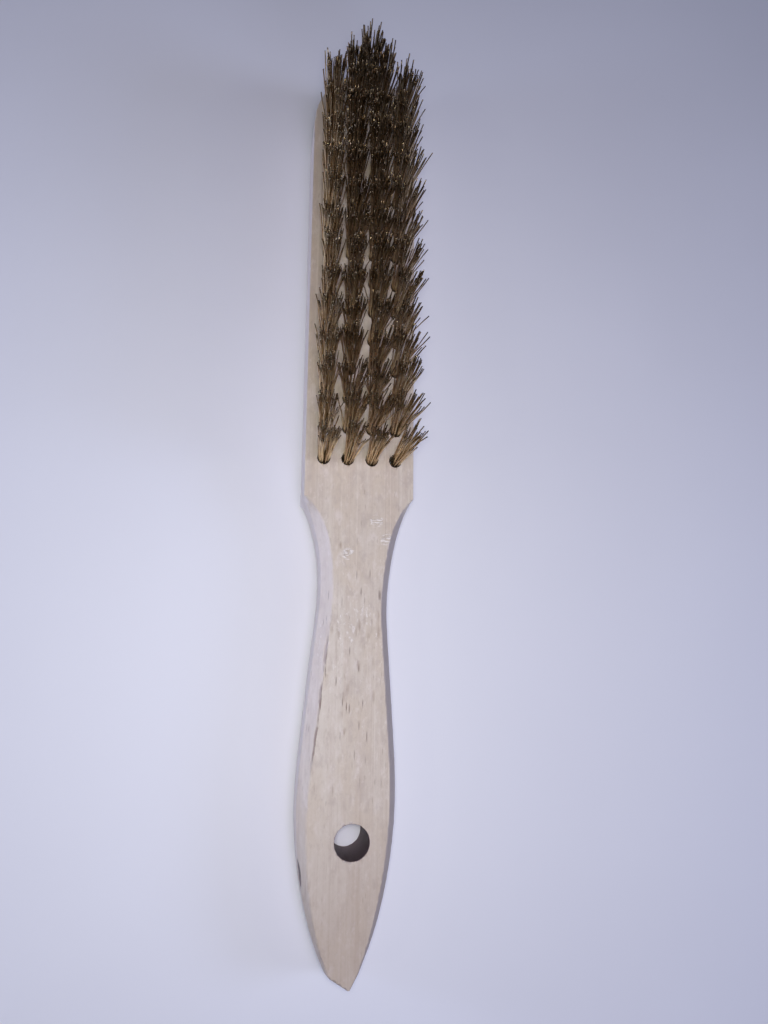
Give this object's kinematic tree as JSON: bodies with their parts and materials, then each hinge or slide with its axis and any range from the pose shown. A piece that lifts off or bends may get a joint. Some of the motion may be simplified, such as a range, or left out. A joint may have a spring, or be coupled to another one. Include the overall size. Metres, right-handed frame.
{
  "type": "wire brush",
  "caption": "Hand wire brush: straight wooden bristle head with rows of folded brass-coated wire tufts on flat anchors, and a waisted, rounded grip with a hanging hole.",
  "frame": {"origin": "middle of the back face: the brush lies on its back with the bristles up", "axes": "+Z along the bristles, +Y along the brush from the tail's tip to the bristle head, +X across it"},
  "size_m": [0.0332, 0.28, 0.0465],
  "materials": {
    "beech": "raw planed beech, unvarnished",
    "wire": "dull brass-coated steel wire",
    "anchor": "bare cut strip"
  },
  "bodies": {
    "root": {"anchor_strips": "anchor", "handle": "beech", "tuft_nose_left": "wire", "tuft_nose_right": "wire", "tuft_nose_tip": "wire", "tuft_row01_col1": "wire", "tuft_row01_col2": "wire", "tuft_row01_col3": "wire", "tuft_row01_col4": "wire", "tuft_row02_col1": "wire", "tuft_row02_col2": "wire", "tuft_row02_col3": "wire", "tuft_row02_col4": "wire", "tuft_row03_col1": "wire", "tuft_row03_col2": "wire", "tuft_row03_col3": "wire", "tuft_row03_col4": "wire", "tuft_row04_col1": "wire", "tuft_row04_col2": "wire", "tuft_row04_col3": "wire", "tuft_row04_col4": "wire", "tuft_row05_col1": "wire", "tuft_row05_col2": "wire", "tuft_row05_col3": "wire", "tuft_row05_col4": "wire", "tuft_row06_col1": "wire", "tuft_row06_col2": "wire", "tuft_row06_col3": "wire", "tuft_row06_col4": "wire", "tuft_row07_col1": "wire", "tuft_row07_col2": "wire", "tuft_row07_col3": "wire", "tuft_row07_col4": "wire", "tuft_row08_col1": "wire", "tuft_row08_col2": "wire", "tuft_row08_col3": "wire", "tuft_row08_col4": "wire", "tuft_row09_col1": "wire", "tuft_row09_col2": "wire", "tuft_row09_col3": "wire", "tuft_row09_col4": "wire", "tuft_row10_col1": "wire", "tuft_row10_col2": "wire", "tuft_row10_col3": "wire", "tuft_row10_col4": "wire", "tuft_row11_col1": "wire", "tuft_row11_col2": "wire", "tuft_row11_col3": "wire", "tuft_row11_col4": "wire", "tuft_row12_col1": "wire", "tuft_row12_col2": "wire", "tuft_row12_col3": "wire", "tuft_row12_col4": "wire", "tuft_row13_col1": "wire", "tuft_row13_col2": "wire", "tuft_row13_col3": "wire", "tuft_row13_col4": "wire"}
  },
  "joints": []
}
